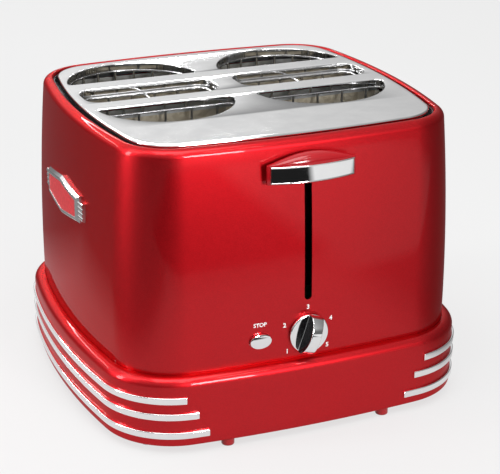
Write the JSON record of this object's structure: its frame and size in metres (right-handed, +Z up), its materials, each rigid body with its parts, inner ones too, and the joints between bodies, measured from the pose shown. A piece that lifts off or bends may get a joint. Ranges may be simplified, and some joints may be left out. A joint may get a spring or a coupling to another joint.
{
  "type": "hot dog toaster",
  "caption": "Countertop toaster for hot dogs and buns: painted square body with a lever, a timer knob, a stop button, lift-out cages and a drip tray.",
  "frame": {"origin": "on the bench, under the middle of the whole part", "axes": "+X to the toaster's own left-to-right as seen from the front, +Y to the rear, +Z up; the lever and knob face -Y"},
  "size_m": [0.2896, 0.2946, 0.2153],
  "materials": {
    "red_metallic_paint": "glossy metallic clear coat",
    "red_moulding": "gloss paint on a moulding",
    "polished_plate": "polished",
    "bright_trim": "mirror plated",
    "badge_red": "fine texture under gloss",
    "black_plastic": "satin",
    "foot_plastic": "satin",
    "zinc_sheet": "plain",
    "wire": "bright plated wire",
    "rod_steel": "ground",
    "mica": "matt, slightly pearly",
    "ribbon": "oxidised",
    "soft_iron": "plain",
    "copper_winding": "enamelled",
    "green_board": "solder mask",
    "white_ceramic": "matt",
    "spring_steel": "plain"
  },
  "bodies": {
    "housing": {"badge_bezel_left": "bright_trim", "badge_bezel_right": "bright_trim", "badge_insert_left": "badge_red", "badge_insert_right": "badge_red", "base_cover": "zinc_sheet", "base_skirt": "red_metallic_paint", "board_bracket": "zinc_sheet", "body_shell": "red_metallic_paint", "bun_guard_front_left": "wire", "bun_guard_front_right": "wire", "bun_guard_rear_left": "wire", "bun_guard_rear_right": "wire", "cord_gland": "black_plastic", "crumb_chute": "zinc_sheet", "dial_potentiometer": "black_plastic", "feet": "foot_plastic", "front_bulkhead": "zinc_sheet", "gland_nut": "black_plastic", "guide_rods": "rod_steel", "heater_card_front_left": "mica", "heater_card_front_right": "mica", "heater_card_rear_left": "mica", "heater_card_rear_right": "mica", "heater_rails": "zinc_sheet", "heater_ribbons": "ribbon", "insulating_ring": "black_plastic", "lift_spring_left": "spring_steel", "lift_spring_right": "spring_steel", "magnet_coil": "copper_winding", "magnet_core": "soft_iron", "rear_bulkhead": "zinc_sheet", "rod_foot": "zinc_sheet", "screws": "rod_steel", "side_shield_left": "zinc_sheet", "side_shield_right": "zinc_sheet", "spring_bracket": "zinc_sheet", "stop_switch": "black_plastic", "terminal_block": "white_ceramic", "timer_board": "green_board", "top_plate": "polished_plate", "trim_strips_left": "bright_trim", "trim_strips_right": "bright_trim"},
    "carriage": {"carriage_spine": "zinc_sheet", "cage_rest": "zinc_sheet", "lever_arm": "rod_steel", "latch_armature": "soft_iron", "lever_handle": "red_moulding", "lever_face": "bright_trim", "bun_rack_front_left": "zinc_sheet", "bun_rack_front_right": "zinc_sheet", "bun_rack_rear_left": "zinc_sheet", "bun_rack_rear_right": "zinc_sheet"},
    "cage_left": {"hot_dog_cage_left": "wire"},
    "cage_right": {"hot_dog_cage_right": "wire"},
    "dial": {"timer_knob": "bright_trim", "dial_shaft": "rod_steel"},
    "stop": {"stop_button": "bright_trim"},
    "tray": {"drip_tray": "zinc_sheet", "tray_pull": "red_metallic_paint"}
  },
  "joints": [
    {"name": "lever_slide", "type": "slide", "parent": "housing", "child": "carriage", "axis": [0, 0, 1], "range_m": [-0.08, 0], "stiffness_N_per_m": 60, "springref_m": 0.15, "deforming": ["lift_spring_left", "lift_spring_right"]},
    {"name": "cage_left_lift", "type": "slide", "parent": "carriage", "child": "cage_left", "axis": [0, 0, 1], "range_m": [0, 0.11]},
    {"name": "cage_right_lift", "type": "slide", "parent": "carriage", "child": "cage_right", "axis": [0, 0, 1], "range_m": [0, 0.11]},
    {"name": "knob_turn", "type": "hinge", "parent": "housing", "child": "dial", "pos_m": [0, -0.135, 0.0744], "axis": [0, 1, 0], "range_deg": [-145, 109]},
    {"name": "stop_press", "type": "slide", "parent": "housing", "child": "stop", "axis": [0, 1, 0], "range_m": [0, 0.0025], "stiffness_N_per_m": 400, "springref_m": -0.001},
    {"name": "tray_slide", "type": "slide", "parent": "housing", "child": "tray", "axis": [0, 1, 0], "range_m": [0, 0.165]}
  ]
}
